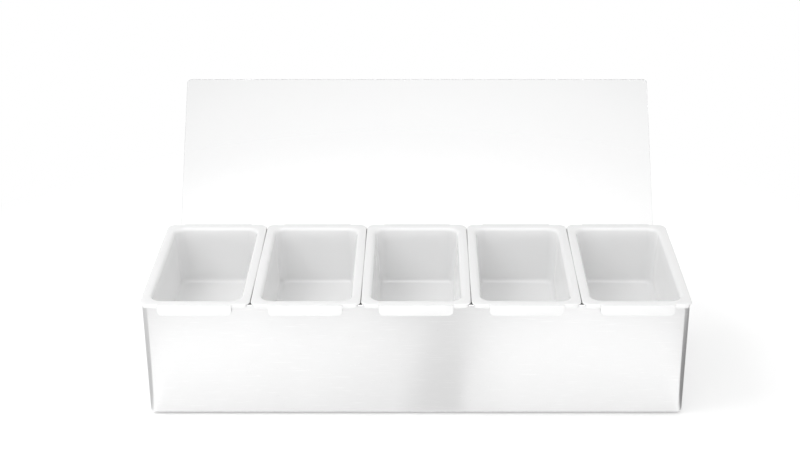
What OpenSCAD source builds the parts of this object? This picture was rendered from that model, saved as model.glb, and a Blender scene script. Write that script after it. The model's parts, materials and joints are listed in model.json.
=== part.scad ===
// Bar condiment caddy: a folded stainless housing, five lift-out inserts and one flip lid.
// Millimetres. +X is to the right, +Z is up and the front faces -Y.
// The origin is the middle of the housing's underside; the pads stand a little below it.
// The lid is drawn open, leaning back on its stops, and the inserts are in place.

/* [Housing] */
// Width of the housing, outside
body_w = 480; // [400:5:600]
// Depth of the housing from front to back, outside
body_d = 158; // [130:1:200]
// Height of the housing from its underside to its top edge
body_h = 110; // [88:0.5:130]
// Thickness of the wall sheet
sheet_t = 1; // [0.8:0.1:1.4]
// Outside radius of the four upright bends
corner_r = 5; // [4:0.5:10]
// Height of the hem folded inwards round the top edge
hem_h = 9; // [6:0.5:14]
// Outside radius of the bend at the foot of the walls
foot_bend_r = 2.5; // [2:0.5:4]
// Width of the foot flange, measured from the outside of the wall
foot_flange_w = 14; // [8:1:24]
// Thickness of the floor sheet
floor_t = 0.8; // [0.6:0.1:1.2]
// Diameter of a non-slip pad
pad_d = 16; // [10:1:16]
// Distance from the foot flange's inner edge to a non-slip pad
pad_gap = 1; // [0.5:0.5:6]
// How far a non-slip pad stands out below the housing
pad_reach = 1.5; // [1:0.5:4]

/* [Inserts] */
// How far the row of rims stands out past each side wall
row_overhang = 1.8; // [1.8:0.1:3]
// How far each rim stands out past the front and the back wall
end_overhang = 2.2; // [1.8:0.1:4]
// Gap between the rims of two neighbours
rim_gap = 0.6; // [0.4:0.1:2]
// Gap between a rim's underside and the top edge of the housing
seat_gap = 0.3; // [0.3:0.1:0.8]
// Thickness of the rim
rim_t = 1.8; // [1.4:0.1:2.4]
// Flat width of the rim, from its outer edge to the start of the inner lip
rim_w = 6; // [5:0.5:9]
// Radius of the rounded inner lip
lip_r = 2.8; // [2:0.2:4]
// Height of the skirt at each end of the rim, with the rim
skirt_h = 3.8; // [3:0.2:6]
// Thickness of the skirt
skirt_t = 1.4; // [1:0.1:1.5]
// Radius of the rim's outer corners, seen from above
rim_corner_r = 7; // [5:0.5:10]
// Radius of the rim's outer edge
rim_edge_r = 1; // [0.5:0.1:1.3]
// Radius of the insert's upright inner corners, at the mouth
mouth_corner_r = 10; // [9.5:0.5:14]
// Depth of the insert, from the top of its rim to its inner floor
insert_depth = 56; // [40:1:62]
// Thickness of the insert's walls
insert_wall = 1.8; // [1.4:0.1:2.4]
// Thickness of the insert's floor
insert_floor = 2; // [1.5:0.1:3]
// Draft of the insert's walls, in degrees from upright
draft = 3.5; // [1:0.5:4]
// Radius between the insert's walls and its inner floor
floor_fillet_r = 5; // [3:0.5:5]
// Width of a finger tab
tab_w = 65; // [40:1:70]
// Drop of a finger tab, from the top of the rim
tab_drop = 10.5; // [8:0.5:16]
// Thickness of a finger tab
tab_t = 2; // [1.5:0.1:3]
// Radius of a finger tab's lower corners
tab_corner_r = 4.5; // [2:0.5:6]

/* [Lid] */
// Width of the lid
lid_w = 470; // [380:5:600]
// Thickness of the lid
lid_t = 2.5; // [2:0.1:4]
// Gap between the closed lid and the rims
lid_gap = 0.4; // [0.4:0.1:1]
// How far the closed lid reaches past the front tabs
lid_front_reach = 1.2; // [0:0.1:6]
// Gap between the rear tabs and the lid's turned-down flange
lid_rear_gap = 1.8; // [1.6:0.1:4]
// Inside radius of the bend between the lid's panel and its flange
lid_bend_r = 2; // [1:0.2:3]
// Radius of the lid's corners
lid_corner_r = 4.5; // [2:0.5:10]
// Angle that the lid turns from closed to its stops, in degrees
open_angle = 128; // [105:1:130]

/* [Hinges] */
// Depth of the hinge pins below the top of the rims
hinge_drop = 17; // [15:0.5:24]
// Width of a hinge
hinge_w = 30; // [26:1:34]
// Thickness of the hinge leaves
leaf_t = 1.2; // [1:0.1:1.5]
// Outside radius of the hinge knuckles
knuckle_r = 3; // [2.8:0.1:4]
// Radius of the hinge pins
pin_r = 1.5; // [1.2:0.1:1.7]
// Radial clearance between a pin and the lid leaf's knuckle
pin_clear = 0.05; // [0.02:0.01:0.1]
// Gap along the pin between two knuckles
knuckle_gap = 0.4; // [0.3:0.1:0.8]
// Length of the lid leaf, from the pin's axis
lid_leaf_h = 14; // [13:0.5:15]
// Distance from the pin's axis to the lower edge of the wall leaf
wall_leaf_h = 27; // [25:0.5:36]
// Width of the stop lug that is bent out of the wall leaf
lug_w = 8; // [6:0.5:9]
// Distance of the stop lug's tip from the back wall
lug_reach = 13.8; // [13:0.2:15]
// Gap between the stop lug and the open lid leaf
lug_gap = 0.3; // [0.3:0.1:0.6]
// Radius of the leaves' free corners
leaf_corner_r = 3; // [1:0.5:4]

/* [Rivets] */
// Radius of a rivet's shank
rivet_r = 1.6; // [1.2:0.1:2]
// Radius of a rivet's head
rivet_head_r = 2.8; // [2.4:0.1:3.2]
// Height of a rivet's head
rivet_head_h = 1.2; // [0.8:0.1:1.4]
// Distance between the two rivets of a leaf
rivet_spacing = 18; // [16:0.5:20]
// Distance of the lid leaf's rivets from the pin's axis
lid_rivet_h = 9.5; // [9:0.25:10]
// Distance of the wall leaf's rivets below the pin's axis
wall_rivet_drop = 19; // [12:0.5:22]
// Radius of the washers inside the lid's flange
washer_r = 4; // [3.4:0.1:5]
// Thickness of the washers
washer_t = 0.8; // [0.5:0.1:1]

/* [Hidden] */
$fn = 64;
eps = 0.01;
rivet_clear = 0.05;   // radial clearance of a rivet's shank in its hole
pin_head_r = 2.3;
pin_head_h = 0.8;
rivet_tail = 0.85;    // a rivet's flat tail, as a part of its head's radius
tab_sink = 0.8;       // a tab's top lies this far below the rim's top
leaf_start = 0.5;     // the lid leaf and the lid's flange start this far above the knuckles
floor_gap = 0.2;      // gap between the floor sheet and the bend at the foot
shelf_lift = 0.1;     // the wall leaf's shelf lies this far above the lowest line of its knuckles

compartments = 5;

// Heights above the housing's underside
rim_z = body_h + seat_gap + rim_t;
floor_z = rim_z - insert_depth;

// The row of inserts
row_w = body_w + 2 * row_overhang;
pitch = row_w / compartments;
rim_x = pitch - rim_gap;
rim_y = body_d + 2 * end_overhang;
mouth_x = rim_x - 2 * (rim_w + lip_r);
mouth_y = rim_y - 2 * (rim_w + lip_r);

// The closed lid
lid_under_z = rim_z + lid_gap;
lid_front_y = -(rim_y / 2 + tab_t + lid_front_reach);
flange_in_y = rim_y / 2 + tab_t + lid_rear_gap;
flange_out_y = flange_in_y + lid_t;

// The hinges stand behind the gaps between the outer inserts, where there are no tabs
hinge_x = pitch * (compartments / 2 - 1);
pivot_y = flange_out_y + leaf_t - knuckle_r;
pivot_z = rim_z - hinge_drop;
flange_end_z = pivot_z + knuckle_r + leaf_start;
knuckle_l = (hinge_w - 2 * knuckle_gap) / 3;
wall_y = body_d / 2;

// A rectangle with round corners, about the origin
module rounded_rect(w, d, r) {
    square([w - 2 * r, d], center = true);
    square([w, d - 2 * r], center = true);
    for (x = [-1, 1], y = [-1, 1])
        translate([x * (w / 2 - r), y * (d / 2 - r)]) circle(r);
}

// Carries a section round a rectangle with round corners. The section is drawn with
// its x as the distance from the corner's centre and its y as the height.
module band(w, d, r) {
    for (side = [0:3]) {
        out = side % 2 == 0 ? w / 2 - r : d / 2 - r;
        along = side % 2 == 0 ? d / 2 - r : w / 2 - r;
        rotate([0, 0, 90 * side]) translate([out, along, 0]) {
            rotate_extrude(angle = 90) children();
            rotate([90, 0, 0]) linear_extrude(2 * along) children();
        }
    }
}

// A cylinder along +Y that starts at the origin
module bolt_y(r, h) {
    rotate([-90, 0, 0]) cylinder(r = r, h = h);
}

// A cylinder along X, about the origin
module bar_x(r, h) {
    rotate([0, 90, 0]) cylinder(r = r, h = h, center = true);
}

// Turns what is drawn closed about the hinge pins to where it rests when the lid is open
module opened() {
    translate([0, pivot_y, pivot_z]) rotate([-open_angle, 0, 0])
        translate([0, -pivot_y, -pivot_z]) children();
}

// Puts one child at each of a leaf's two rivets
module at_rivets() {
    for (x = [-1, 1] * rivet_spacing / 2) translate([x, 0, 0]) children();
}

// ---- housing ----

// The wall with its hem and the bend at its foot
module housing_section() {
    wall_x = corner_r - sheet_t;
    bend_x = corner_r - foot_bend_r;
    translate([wall_x, foot_bend_r]) square([sheet_t, body_h - sheet_t - foot_bend_r]);
    translate([wall_x - sheet_t, body_h - hem_h]) square([sheet_t + eps, hem_h - sheet_t]);
    translate([wall_x, body_h - sheet_t]) circle(sheet_t);
    translate([bend_x, foot_bend_r]) intersection() {
        difference() {
            circle(foot_bend_r);
            circle(foot_bend_r - sheet_t);
        }
        translate([0, -foot_bend_r]) square(foot_bend_r);
    }
}

module housing_wrap() {
    flange_start = 2 * foot_bend_r;
    color("silver") difference() {
        union() {
            band(body_w, body_d, corner_r) housing_section();
            linear_extrude(sheet_t) difference() {
                rounded_rect(body_w - flange_start, body_d - flange_start, corner_r - foot_bend_r);
                square([body_w - 2 * foot_flange_w, body_d - 2 * foot_flange_w], center = true);
            }
        }
        for (x = [-hinge_x, hinge_x])
            translate([x, wall_y - 3 * sheet_t, pivot_z - wall_rivet_drop]) at_rivets()
                bolt_y(rivet_r + rivet_clear, 6 * sheet_t);
    }
}

module base_plate() {
    inset = 2 * (foot_bend_r + floor_gap);
    color("gainsboro") translate([0, 0, sheet_t]) linear_extrude(floor_t)
        rounded_rect(body_w - inset, body_d - inset, corner_r - foot_bend_r);
}

// A pad glued to the floor sheet, inside the foot flange
module foot(side, end) {
    inset = foot_flange_w + pad_gap + pad_d / 2;
    color("dimgray") translate([side * (body_w / 2 - inset), end * (body_d / 2 - inset), -pad_reach])
        cylinder(r = pad_d / 2, h = pad_reach + sheet_t);
}

// ---- inserts ----

// The wall of an insert, from its rounded lip down to the edge of its floor
module insert_section() {
    slope = tan(draft);
    mouth_z = rim_z - lip_r;
    wall_top_z = rim_z - min(lip_r, rim_t) / 2;
    fillet_z = floor_z + floor_fillet_r;
    fillet_x = mouth_corner_r - (mouth_z - fillet_z) * slope - floor_fillet_r;
    under_r = floor_fillet_r + insert_wall;
    under_z = floor_z - insert_floor;
    difference() {
        union() {
            translate([0, mouth_z]) square([mouth_corner_r + lip_r, lip_r]);
            polygon([
                [0, wall_top_z], [mouth_corner_r + insert_wall, wall_top_z], [mouth_corner_r + insert_wall, mouth_z],
                [fillet_x + under_r, under_z + under_r], [fillet_x + under_r, under_z], [0, under_z],
            ]);
        }
        polygon([
            [-eps, rim_z + eps], [mouth_corner_r, rim_z + eps], [mouth_corner_r, mouth_z],
            [fillet_x + floor_fillet_r, fillet_z], [fillet_x, fillet_z], [fillet_x, floor_z], [-eps, floor_z],
        ]);
        translate([fillet_x, fillet_z]) circle(floor_fillet_r);
        difference() {
            translate([mouth_corner_r - eps, mouth_z]) square(lip_r + eps);
            translate([mouth_corner_r + lip_r, mouth_z]) circle(lip_r);
        }
        translate([fillet_x, under_z + under_r]) difference() {
            translate([0, -under_r - eps]) square(under_r + eps);
            circle(under_r);
        }
    }
}

// The outer edge of the rim, as deep as the skirt
module rim_section() {
    difference() {
        translate([0, rim_z - skirt_h]) square([rim_corner_r, skirt_h]);
        translate([rim_corner_r - rim_edge_r, rim_z - rim_edge_r]) difference() {
            square(rim_edge_r + eps);
            circle(rim_edge_r);
        }
    }
}

// The outer edge of the rim with a skirt at each end. The long sides have none, so that
// neighbours lie close and the rim rests on the walls.
module rim_edge() {
    inner_y = rim_y - 2 * skirt_t;
    difference() {
        band(rim_x, rim_y, rim_corner_r) rim_section();
        translate([-rim_x / 2 - eps, -inner_y / 2, rim_z - skirt_h - eps])
            cube([rim_x + 2 * eps, inner_y, skirt_h - rim_t + eps]);
    }
}

// The tab at the back end of an insert
module finger_tab() {
    h = tab_drop - tab_sink;
    translate([0, rim_y / 2 + tab_t, rim_z - tab_drop]) rotate([90, 0, 0])
        linear_extrude(tab_t + skirt_t / 2) intersection() {
            translate([0, h / 2 + tab_corner_r]) rounded_rect(tab_w, h + 2 * tab_corner_r, tab_corner_r);
            translate([-tab_w / 2, 0]) square([tab_w, h]);
        }
}

module insert(number) {
    color("white") translate([(number - (compartments + 1) / 2) * pitch, 0, 0]) {
        band(mouth_x, mouth_y, mouth_corner_r) insert_section();
        translate([0, 0, floor_z - insert_floor]) linear_extrude(insert_floor)
            square([mouth_x - 2 * mouth_corner_r + eps, mouth_y - 2 * mouth_corner_r + eps], center = true);
        rim_edge();
        translate([0, 0, rim_z - rim_t]) linear_extrude(rim_t) difference() {
            rounded_rect(rim_x - 2 * rim_edge_r, rim_y - 2 * rim_edge_r, rim_corner_r - rim_edge_r);
            rounded_rect(mouth_x + 2 * lip_r, mouth_y + 2 * lip_r, mouth_corner_r + lip_r);
        }
        for (turn = [0, 180]) rotate([0, 0, turn]) finger_tab();
    }
}

// ---- hinges ----

module hinge_pin(side) {
    color("silver") translate([side * hinge_x, pivot_y, pivot_z]) {
        bar_x(pin_r, hinge_w);
        for (end = [-1, 1]) translate([end * (hinge_w + pin_head_h) / 2, 0, 0]) bar_x(pin_head_r, pin_head_h);
    }
}

// Where the stop lug's tip meets the open lid leaf
function lug_z() =
    let (run = (wall_y + lug_reach - pivot_y - knuckle_r * cos(open_angle)) / sin(open_angle))
    pivot_z - knuckle_r * sin(open_angle) + run * cos(open_angle) - lug_gap / sin(open_angle);

// A leaf riveted to the back wall, with two knuckles and the lug that stops the lid
module wall_leaf(side) {
    plate_z = pivot_z - wall_leaf_h;
    shelf_z = pivot_z - knuckle_r + shelf_lift;
    plate_h = shelf_z + leaf_t - plate_z;
    lug_l = lug_reach - leaf_t;
    color("lightsteelblue") translate([side * hinge_x, 0, 0]) {
        difference() {
            translate([0, wall_y + leaf_t, plate_z]) rotate([90, 0, 0]) linear_extrude(leaf_t) difference() {
                translate([0, plate_h / 2]) union() {
                    rounded_rect(hinge_w, plate_h, leaf_corner_r);
                    translate([-hinge_w / 2, 0]) square([hinge_w, plate_h / 2]);
                }
                translate([-lug_w / 2, lug_z() - leaf_t - lug_l - plate_z]) square([lug_w, lug_l]);
            }
            translate([0, wall_y - leaf_t, pivot_z - wall_rivet_drop]) at_rivets()
                bolt_y(rivet_r + rivet_clear, 3 * leaf_t);
        }
        translate([-lug_w / 2, wall_y + leaf_t - eps, lug_z() - leaf_t]) cube([lug_w, lug_l + eps, leaf_t]);
        for (end = [-1, 1]) translate([end * (hinge_w - knuckle_l) / 2, 0, 0]) difference() {
            union() {
                translate([0, pivot_y, pivot_z]) bar_x(knuckle_r, knuckle_l);
                translate([-knuckle_l / 2, wall_y, shelf_z]) cube([knuckle_l, pivot_y - wall_y, leaf_t]);
            }
            translate([0, pivot_y, pivot_z]) bar_x(pin_r, knuckle_l + 2 * eps);
        }
    }
}

// A leaf riveted to the lid's flange, drawn with the lid closed
module lid_leaf(side) {
    plate_start = knuckle_r + leaf_start;
    plate_h = lid_leaf_h - plate_start;
    color("lightsteelblue") opened() translate([side * hinge_x, 0, 0]) {
        difference() {
            union() {
                translate([0, flange_out_y + leaf_t, pivot_z + plate_start]) rotate([90, 0, 0])
                    linear_extrude(leaf_t) translate([0, plate_h / 2]) {
                        rounded_rect(hinge_w, plate_h, leaf_corner_r);
                        translate([-hinge_w / 2, -plate_h / 2]) square([hinge_w, plate_h / 2]);
                    }
                translate([-knuckle_l / 2, flange_out_y, pivot_z]) cube([knuckle_l, leaf_t, plate_start + eps]);
                translate([0, pivot_y, pivot_z]) bar_x(knuckle_r, knuckle_l);
            }
            translate([0, pivot_y, pivot_z]) bar_x(pin_r + pin_clear, knuckle_l + 2 * eps);
            translate([0, flange_out_y - leaf_t, pivot_z + lid_rivet_h]) at_rivets()
                bolt_y(rivet_r + rivet_clear, 3 * leaf_t);
        }
    }
}

// A rivet along +Y that clamps a stack from y = 0 to y = grip
module rivet(grip) {
    translate([0, -rivet_head_h / 2, 0]) bolt_y(rivet_r, grip + rivet_head_h);
    translate([0, grip, 0]) intersection() {
        bolt_y(rivet_head_r, rivet_head_h);
        translate([0, rivet_head_h - dome_r(), 0]) sphere(dome_r());
    }
    translate([0, -rivet_head_h, 0]) bolt_y(rivet_head_r * rivet_tail, rivet_head_h);
}

// Radius of the sphere that a rivet's domed head is cut from
function dome_r() = (rivet_head_r * rivet_head_r + rivet_head_h * rivet_head_h) / (2 * rivet_head_h);

module wall_rivets() {
    color("silver") for (x = [-hinge_x, hinge_x])
        translate([x, wall_y - sheet_t, pivot_z - wall_rivet_drop]) at_rivets() rivet(sheet_t + leaf_t);
}

module lid_rivets() {
    color("silver") opened() for (x = [-hinge_x, hinge_x])
        translate([x, flange_in_y - washer_t, pivot_z + lid_rivet_h]) at_rivets()
            rivet(washer_t + lid_t + leaf_t);
}

module lid_washers() {
    color("gainsboro") opened() for (x = [-hinge_x, hinge_x])
        translate([x, flange_in_y - washer_t, pivot_z + lid_rivet_h]) at_rivets() difference() {
            bolt_y(washer_r, washer_t);
            translate([0, -eps, 0]) bolt_y(rivet_r + rivet_clear, washer_t + 2 * eps);
        }
}

// ---- lid ----

// The lid's section from front to back: panel, bend and turned-down flange
module lid_section() {
    bend_y = flange_in_y - lid_bend_r;
    bend_z = lid_under_z - lid_bend_r;
    translate([lid_front_y, lid_under_z]) square([bend_y - lid_front_y, lid_t]);
    translate([flange_in_y, flange_end_z]) square([lid_t, bend_z - flange_end_z]);
    translate([bend_y, bend_z]) intersection() {
        difference() {
            circle(lid_bend_r + lid_t);
            circle(lid_bend_r);
        }
        square(lid_bend_r + lid_t);
    }
}

// What rounds off a corner of radius r, pointing to +X +Y from the circle's centre
module corner_waste(r) {
    difference() {
        square(r + eps);
        circle(r);
    }
}

module lid() {
    corner_x = lid_w / 2 - lid_corner_r;
    color([0.85, 0.92, 0.95, 0.5]) opened() difference() {
        translate([-lid_w / 2, 0, 0]) rotate([90, 0, 90]) linear_extrude(lid_w) lid_section();
        for (side = [0, 1]) mirror([side, 0, 0]) {
            translate([corner_x, lid_front_y + lid_corner_r, lid_under_z - eps]) mirror([0, 1, 0])
                linear_extrude(lid_t + 2 * eps) corner_waste(lid_corner_r);
            translate([corner_x, flange_out_y + eps, flange_end_z + lid_corner_r]) rotate([90, 0, 0])
                mirror([0, 1, 0]) linear_extrude(lid_t + 2 * eps) corner_waste(lid_corner_r);
        }
        for (x = [-hinge_x, hinge_x])
            translate([x, flange_in_y - eps, pivot_z + lid_rivet_h]) at_rivets()
                bolt_y(rivet_r + rivet_clear, lid_t + 2 * eps);
    }
}

housing_wrap();
base_plate();
foot(-1, -1);  // foot_front_left
foot(1, -1);  // foot_front_right
foot(-1, 1);  // foot_rear_left
foot(1, 1);  // foot_rear_right
insert(1);  // insert_1
insert(2);  // insert_2
insert(3);  // insert_3
insert(4);  // insert_4
insert(5);  // insert_5
wall_leaf(-1);  // wall_leaf_left
wall_leaf(1);  // wall_leaf_right
hinge_pin(-1);  // hinge_pin_left
hinge_pin(1);  // hinge_pin_right
wall_rivets();
lid();
lid_leaf(-1);  // lid_leaf_left
lid_leaf(1);  // lid_leaf_right
lid_rivets();
lid_washers();
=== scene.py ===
import json
import math

import bmesh
import bpy
from mathutils import Matrix, Vector


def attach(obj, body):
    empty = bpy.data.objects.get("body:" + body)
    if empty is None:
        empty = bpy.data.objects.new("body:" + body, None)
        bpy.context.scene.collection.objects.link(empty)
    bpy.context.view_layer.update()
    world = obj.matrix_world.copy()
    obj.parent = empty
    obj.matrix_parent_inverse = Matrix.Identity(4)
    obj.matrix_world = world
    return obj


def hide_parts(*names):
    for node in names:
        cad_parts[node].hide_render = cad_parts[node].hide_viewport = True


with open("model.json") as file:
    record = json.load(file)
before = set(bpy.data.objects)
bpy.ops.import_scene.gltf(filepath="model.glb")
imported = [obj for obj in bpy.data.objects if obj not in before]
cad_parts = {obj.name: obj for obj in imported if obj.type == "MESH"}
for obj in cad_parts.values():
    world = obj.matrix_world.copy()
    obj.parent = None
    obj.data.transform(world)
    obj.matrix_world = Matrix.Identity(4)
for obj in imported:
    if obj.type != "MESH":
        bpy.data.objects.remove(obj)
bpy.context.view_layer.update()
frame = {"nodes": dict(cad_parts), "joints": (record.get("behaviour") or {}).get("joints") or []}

# Bar condiment caddy: folded stainless housing, five lift-out inserts, one clear flip lid.
# Sizes are in millimetres in the dictionaries and metres in the meshes.
# x is to the right, y to the back, z up, and the origin is the middle of the housing's underside.
mm = 0.001
scene = bpy.context.scene


def addObject(name, data):
    obj = bpy.data.objects.new(name, data)
    scene.collection.objects.link(obj)
    return obj


def meshFrom(name, points, faces, edges=()):
    mesh = bpy.data.meshes.new(name)
    mesh.from_pydata([Vector(p) * mm for p in points], edges, faces)
    return mesh


def tidyMesh(mesh):
    closeBy = 0.01 * mm  # points nearer to each other than this become one
    work = bmesh.new()
    work.from_mesh(mesh)
    bmesh.ops.remove_doubles(work, verts=work.verts, dist=closeBy)
    bmesh.ops.dissolve_degenerate(work, edges=work.edges, dist=closeBy / 10)
    bmesh.ops.recalc_face_normals(work, faces=work.faces)
    work.to_mesh(mesh)
    work.free()


def smoothBelow(mesh, degrees):
    mesh.shade_smooth()
    mesh.set_sharp_from_angle(angle=math.radians(degrees))


def applyModifiers(obj):
    plain = bpy.data.meshes.new_from_object(obj.evaluated_get(bpy.context.evaluated_depsgraph_get()))
    obj.modifiers.clear()
    obj.data = plain


def cutWith(obj, tool, operation):
    boolean = obj.modifiers.new("join", "BOOLEAN")
    boolean.operation = operation
    boolean.solver = "EXACT"
    boolean.object = tool
    applyModifiers(obj)
    bpy.data.objects.remove(tool)


def roundEdges(obj, width, segments, degrees):
    bevel = obj.modifiers.new("edges", "BEVEL")
    bevel.width = width * mm
    bevel.segments = segments
    bevel.limit_method = "ANGLE"
    bevel.angle_limit = math.radians(degrees)
    applyModifiers(obj)


def shift(x, y, z):
    return Matrix.Translation(Vector((x, y, z)) * mm)


def arc(centreX, centreY, radius, start, end, steps):
    turns = [math.radians(start + (end - start) * k / steps) for k in range(steps + 1)]
    return [(centreX + radius * math.cos(t), centreY + radius * math.sin(t)) for t in turns]


def lathe(name, profile, steps):
    # profile is (radius, distance along y)
    points, faces, rings = [], [], []
    for radius, along in profile:
        if radius == 0:
            rings.append([len(points)])
            points.append((0, along, 0))
            continue
        rings.append([len(points) + k for k in range(steps)])
        for k in range(steps):
            turn = 2 * math.pi * k / steps
            points.append((radius * math.cos(turn), along, radius * math.sin(turn)))
    for lower, upper in zip(rings, rings[1:]):
        for k in range(steps):
            a, b = lower[k % len(lower)], lower[(k + 1) % len(lower)]
            c, d = upper[(k + 1) % len(upper)], upper[k % len(upper)]
            corners = list(dict.fromkeys((a, b, c, d)))
            if len(corners) > 2:
                faces.append(corners)
    mesh = meshFrom(name, points, faces)
    tidyMesh(mesh)
    return mesh


def joinNodes(tree, *links):
    for fromNode, output, toNode, socket in links:
        tree.links.new(fromNode.outputs[output], toNode.inputs[socket])


def geometryTree(name, inputs):
    tree = bpy.data.node_groups.new(name, "GeometryNodeTree")
    tree.interface.new_socket("Geometry", in_out="INPUT", socket_type="NodeSocketGeometry")
    for label, kind in inputs:
        tree.interface.new_socket(label, in_out="INPUT", socket_type="NodeSocket" + kind)
    tree.interface.new_socket("Geometry", in_out="OUTPUT", socket_type="NodeSocketGeometry")
    return tree, tree.nodes.new("NodeGroupInput"), tree.nodes.new("NodeGroupOutput")


def runTree(obj, tree, values):
    modifier = obj.modifiers.new(tree.name, "NODES")
    modifier.node_group = tree
    for item in tree.interface.items_tree:
        if item.item_type == "SOCKET" and item.in_out == "INPUT" and item.name in values:
            modifier[item.identifier] = values[item.name]
    applyModifiers(obj)


def shaderGroup(name, inputs, outputs):
    group = bpy.data.node_groups.new(name, "ShaderNodeTree")
    for label, kind, value in inputs:
        socket = group.interface.new_socket(label, in_out="INPUT", socket_type="NodeSocket" + kind)
        socket.default_value = value
    for label in outputs:
        group.interface.new_socket(label, in_out="OUTPUT", socket_type="NodeSocketFloat")
    return group, group.nodes.new("NodeGroupInput"), group.nodes.new("NodeGroupOutput")


def setInputs(node, values):
    for label, value in values.items():
        node.inputs[label.replace("_", " ")].default_value = value


def newMaterial(name, **values):
    material = bpy.data.materials.new(name)
    material.use_nodes = True
    shader = material.node_tree.nodes["Principled BSDF"]
    setInputs(shader, values)
    return material, material.node_tree, shader


def placeGroup(tree, group, **values):
    node = tree.nodes.new("ShaderNodeGroup")
    node.node_tree = group
    setInputs(node, values)
    return node


def mathNode(tree, operation, second=None):
    node = tree.nodes.new("ShaderNodeMath")
    node.operation = operation
    if second is not None:
        node.inputs[1].default_value = second
    return node


def noiseNode(tree, dimensions="3D", **values):
    node = tree.nodes.new("ShaderNodeTexNoise")
    node.noise_dimensions = dimensions
    setInputs(node, values)
    return node


def spread(tree, low, high, fromLow=0.0, fromHigh=1.0):
    # maps a mask onto the range a socket wants
    node = tree.nodes.new("ShaderNodeMapRange")
    setInputs(node, {"From Min": fromLow, "From Max": fromHigh, "To Min": low, "To Max": high})
    return node


def twoTone(tree, first, second):
    node = tree.nodes.new("ShaderNodeMix")
    node.data_type = "RGBA"
    setInputs(node, {"A": (*first, 1), "B": (*second, 1)})
    return node


def relief(tree, strength, depth):
    node = tree.nodes.new("ShaderNodeBump")
    setInputs(node, {"Strength": strength, "Distance": depth * mm})
    return node


def buildBrushLines():
    # fine parallel marks of an abrasive belt, and the cloudy patches that a belt leaves
    group, given, result = shaderGroup(
        "brushLines",
        [("Vector", "Vector", (0, 0, 0)), ("Line Size", "Vector", (0.02, 0.02, 0.001)),
         ("Seed", "Float", 0)],
        ["Lines", "Scratches", "Patches"])
    scale = group.nodes.new("ShaderNodeVectorMath")
    scale.operation = "DIVIDE"
    fine = noiseNode(group, "4D", Scale=1, Detail=4, Roughness=0.65)
    sparse = noiseNode(group, "4D", Scale=0.55, Detail=1)
    pick = spread(group, 0, 1, 0.62, 0.74)
    cloud = noiseNode(group, "4D", Scale=14, Detail=2)
    joinNodes(group, (given, "Vector", scale, 0), (given, "Line Size", scale, 1),
              (scale, "Vector", fine, "Vector"), (given, "Seed", fine, "W"), (fine, "Fac", result, "Lines"),
              (scale, "Vector", sparse, "Vector"), (given, "Seed", sparse, "W"),
              (sparse, "Fac", pick, "Value"), (pick, "Result", result, "Scratches"),
              (given, "Vector", cloud, "Vector"), (given, "Seed", cloud, "W"),
              (cloud, "Fac", result, "Patches"))
    return group


def buildFineMottle():
    # the slight unevenness of a moulded or cast surface, in clouds and in grain
    group, given, result = shaderGroup(
        "fineMottle",
        [("Vector", "Vector", (0, 0, 0)), ("Cloud Scale", "Float", 20), ("Grain Scale", "Float", 900)],
        ["Clouds", "Grain"])
    for label, source, detail in (("Clouds", "Cloud Scale", 3), ("Grain", "Grain Scale", 2)):
        noise = noiseNode(group, Detail=detail)
        joinNodes(group, (given, "Vector", noise, "Vector"), (given, source, noise, "Scale"),
                  (noise, "Fac", result, label))
    return group


def buildHairlines():
    # short hair scratches that wiping leaves on a polished surface
    group, given, result = shaderGroup(
        "hairlines",
        [("Vector", "Vector", (0, 0, 0)), ("Scale", "Float", 30), ("Width", "Float", 0.006)],
        ["Marks"])
    warp = noiseNode(group, Detail=1, Distortion=1.5)
    centre = mathNode(group, "SUBTRACT", 0.5)
    size = mathNode(group, "ABSOLUTE")
    near = mathNode(group, "LESS_THAN")
    broken = noiseNode(group, Scale=160)
    keep = spread(group, 0, 1, 0.5, 0.62)
    both = mathNode(group, "MULTIPLY")
    joinNodes(group, (given, "Vector", warp, "Vector"), (given, "Scale", warp, "Scale"),
              (warp, "Fac", centre, 0), (centre, "Value", size, 0),
              (size, "Value", near, 0), (given, "Width", near, 1),
              (given, "Vector", broken, "Vector"), (broken, "Fac", keep, "Value"),
              (near, "Value", both, 0), (keep, "Result", both, 1), (both, "Value", result, "Marks"))
    return group


# surface effects that several materials share
brushLines = buildBrushLines()
fineMottle = buildFineMottle()
hairlines = buildHairlines()
print("surface effects ready")


# the shares are what the belt's lines and its patches add to the tone; depths are in mm
brushing = dict(lineShare=0.75, patchShare=0.25, lineRange=(0.25, 0.75), depth=0.02)
steelLooks = {
    "housing": dict(dark=(0.885, 0.885, 0.885), pale=(0.935, 0.935, 0.935), scratch=(0.955, 0.955, 0.955),
                    lineSize=(9, 9, 0.4), roughness=(0.26, 0.36), relief=0.15, stretch=0.7, seed=1.0),
    "floor": dict(dark=(0.70, 0.70, 0.70), pale=(0.86, 0.86, 0.86), scratch=(0.95, 0.95, 0.95),
                  lineSize=(30, 0.9, 6), roughness=(0.28, 0.42), relief=0.2, stretch=0, seed=2.0),
    "hinge": dict(dark=(0.44, 0.44, 0.45), pale=(0.60, 0.60, 0.61), scratch=(0.74, 0.74, 0.74),
                  lineSize=(7, 0.6, 0.6), roughness=(0.22, 0.36), relief=0.2, stretch=0, seed=3.0),
    "rivet": dict(dark=(0.52, 0.52, 0.53), pale=(0.68, 0.68, 0.69), scratch=(0.80, 0.80, 0.80),
                  lineSize=(1.2, 1.2, 1.2), roughness=(0.20, 0.34), relief=0.12, stretch=0, seed=4.0),
    "pin": dict(dark=(0.42, 0.42, 0.43), pale=(0.56, 0.56, 0.57), scratch=(0.7, 0.7, 0.7),
                lineSize=(12, 0.3, 0.3), roughness=(0.18, 0.28), relief=0.1, stretch=0, seed=5.0),
}

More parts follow.
